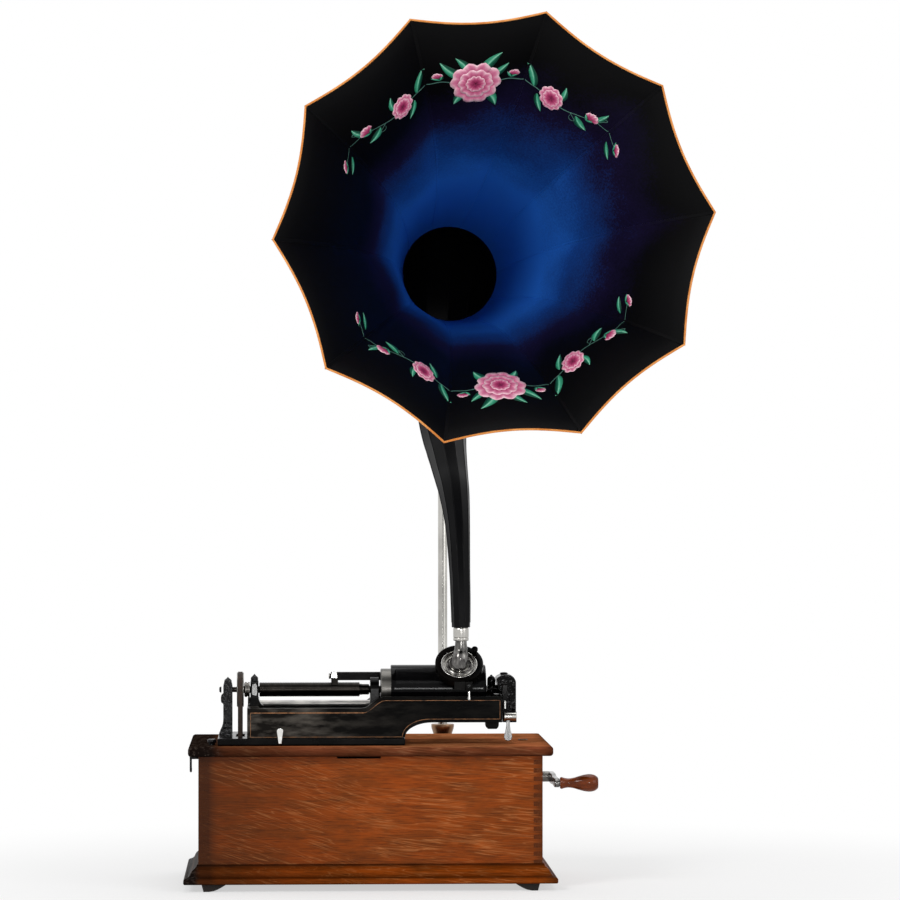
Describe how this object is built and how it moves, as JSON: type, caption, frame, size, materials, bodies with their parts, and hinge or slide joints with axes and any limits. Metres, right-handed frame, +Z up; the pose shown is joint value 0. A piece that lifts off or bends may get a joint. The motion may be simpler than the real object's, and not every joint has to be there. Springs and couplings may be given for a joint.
{
  "type": "cylinder phonograph",
  "caption": "Spring-driven cylinder phonograph: oak case with side crank, mandrel and sliding reproducer, and a petalled horn on a swan-neck elbow hung from a crane.",
  "frame": {"origin": "centre of the bounding box at the floor, under the feet", "axes": "+X to the crank side, +Y to the back, +Z up; the bell faces -Y"},
  "size_m": [0.5772, 0.5718, 0.9647],
  "materials": {
    "oak": "quarter-sawn oak, amber shellac, satin",
    "foot_wood": "black stained, matt",
    "japanned_iron": "black japan, gloss",
    "nickel_plate": "nickel plated, polished",
    "turned_steel": "turned steel, oiled",
    "brass": "turned brass",
    "belt_leather": "brown belt leather",
    "wax": "black moulded record wax, fine grooves",
    "handle_wood": "turned, red-brown gloss varnish",
    "horn_tin": "painted tinplate, black to blue"
  },
  "bodies": {
    "case": {"base_moulding": "oak", "bottom_board": "oak", "front_panel": "oak", "back_panel": "oak", "left_panel": "oak", "right_panel": "oak", "foot_front_left": "foot_wood", "foot_front_right": "foot_wood", "foot_back_left": "foot_wood", "foot_back_right": "foot_wood", "motor_board": "oak", "board_ferrule": "brass", "crank_escutcheon": "nickel_plate", "bedplate": "japanned_iron", "body_casting": "japanned_iron", "guide_rod": "turned_steel", "pivot_post": "japanned_iron", "left_bearing": "japanned_iron", "middle_bearing": "japanned_iron", "drive_belt": "belt_leather", "motor_frame": "japanned_iron", "crane_bracket": "nickel_plate", "gate_hinge": "japanned_iron"},
    "arbor": {"feed_screw": "turned_steel", "mandrel_pulley": "turned_steel", "mandrel": "nickel_plate", "wax_record": "wax"},
    "carriage": {"carriage_sleeve": "turned_steel"},
    "arm": {"reproducer_arm": "japanned_iron", "half_nut_arm": "japanned_iron", "half_nut": "nickel_plate", "reproducer": "nickel_plate"},
    "clamp_knob": {"clamp_knob": "japanned_iron"},
    "lift_lever": {"lift_lever": "nickel_plate"},
    "horn": {"horn_collar": "nickel_plate", "horn_elbow": "horn_tin", "throat_ring": "horn_tin", "bell_panel_01": "horn_tin", "bell_panel_02": "horn_tin", "bell_panel_03": "horn_tin", "bell_panel_04": "horn_tin", "bell_panel_05": "horn_tin", "bell_panel_06": "horn_tin", "bell_panel_07": "horn_tin", "bell_panel_08": "horn_tin", "bell_panel_09": "horn_tin", "bell_panel_10": "horn_tin", "hanger_loop": "nickel_plate"},
    "crane": {"crane_rod": "nickel_plate", "crane_knob": "nickel_plate"},
    "gate": {"end_gate": "japanned_iron"},
    "gate_lock": {"gate_lock": "nickel_plate"},
    "start_lever": {"start_lever": "nickel_plate"},
    "speed_screw": {"speed_screw": "nickel_plate"},
    "lid_catch": {"lid_catch": "japanned_iron"},
    "drive_shaft": {"drive_pulley": "turned_steel"},
    "barrel": {"spring_barrel": "turned_steel"},
    "governor": {"governor": "brass"},
    "crank": {"crank_arm": "turned_steel"},
    "crank_handle": {"crank_handle": "handle_wood"}
  },
  "joints": [
    {"name": "mandrel_spin", "type": "hinge", "parent": "case", "child": "arbor", "pos_m": [-0.07859, 0.0555, 0.222], "axis": [1, 0, 0], "continuous": true},
    {"name": "drive_shaft_spin", "type": "hinge", "parent": "case", "child": "drive_shaft", "pos_m": [-0.07859, 0.0555, 0.098], "axis": [1, 0, 0], "continuous": true},
    {"name": "barrel_spin", "type": "hinge", "parent": "case", "child": "barrel", "pos_m": [-0.07859, 0.0935, 0.119], "axis": [1, 0, 0], "continuous": true},
    {"name": "governor_spin", "type": "hinge", "parent": "case", "child": "governor", "pos_m": [-0.07859, 0.1455, 0.088], "axis": [1, 0, 0], "continuous": true},
    {"name": "carriage_slide", "type": "slide", "parent": "case", "child": "carriage", "axis": [1, 0, 0], "range_m": [-0.07, 0.026]},
    {"name": "arm_lift", "type": "hinge", "parent": "carriage", "child": "arm", "pos_m": [0.00941, 0.0995, 0.2035], "axis": [-1, 0, 0], "range_deg": [0, 2.5]},
    {"name": "clamp_turn", "type": "hinge", "parent": "arm", "child": "clamp_knob", "pos_m": [0.04039, 0.03453, 0.26477], "axis": [0, -0.7193, 0.6947], "range_deg": [-180, 180]},
    {"name": "lift_lever_turn", "type": "hinge", "parent": "arm", "child": "lift_lever", "pos_m": [0.03241, -0.0015, 0.2265], "axis": [0, 1, 0], "range_deg": [-80, 0]},
    {"name": "horn_upright", "type": "hinge", "parent": "arm", "child": "horn", "pos_m": [0.0244, 0.0235, 0.28225], "axis": [-1, 0, 0], "range_deg": [-2.5, 0]},
    {"name": "crane_swing", "type": "hinge", "parent": "case", "child": "crane", "pos_m": [0.01191, 0.2285, 0.1715], "axis": [0, 0, 1], "range_deg": [-13.76, 5.12]},
    {"name": "gate_swing", "type": "hinge", "parent": "case", "child": "gate", "pos_m": [0.07591, 0.111, 0.186], "axis": [0, 0, 1], "range_deg": [0, 100]},
    {"name": "gate_lock_turn", "type": "hinge", "parent": "gate", "child": "gate_lock", "pos_m": [0.0797, 0.0146, 0.193], "axis": [1, 0, 0], "range_deg": [-90, 0]},
    {"name": "start_lever_slide", "type": "slide", "parent": "case", "child": "start_lever", "axis": [1, 0, 0], "range_m": [-0.006, 0.006]},
    {"name": "speed_screw_turn", "type": "hinge", "parent": "case", "child": "speed_screw", "pos_m": [-0.25739, 0.0155, 0.1615], "axis": [0, 0, 1], "continuous": true},
    {"name": "lid_catch_swing", "type": "hinge", "parent": "case", "child": "lid_catch", "pos_m": [-0.28159, 0.0335, 0.1465], "axis": [1, 0, 0], "range_deg": [-80, 30]},
    {"name": "crank_spin", "type": "hinge", "parent": "case", "child": "crank", "pos_m": [0.1149, 0.0935, 0.119], "axis": [1, 0, 0], "continuous": true},
    {"name": "crank_handle_spin", "type": "hinge", "parent": "crank", "child": "crank_handle", "pos_m": [0.13461, -0.004, 0.119], "axis": [1, 0, 0], "continuous": true}
  ],
  "couplings": [
    {"joint": "drive_shaft_spin", "follows": "mandrel_spin", "ratio": 1},
    {"joint": "barrel_spin", "follows": "mandrel_spin", "ratio": -0.05},
    {"joint": "governor_spin", "follows": "mandrel_spin", "ratio": 5.5},
    {"joint": "horn_upright", "follows": "arm_lift", "ratio": -1},
    {"joint": "crane_swing", "follows": "carriage_slide", "rad_per_m": 3.43}
  ]
}
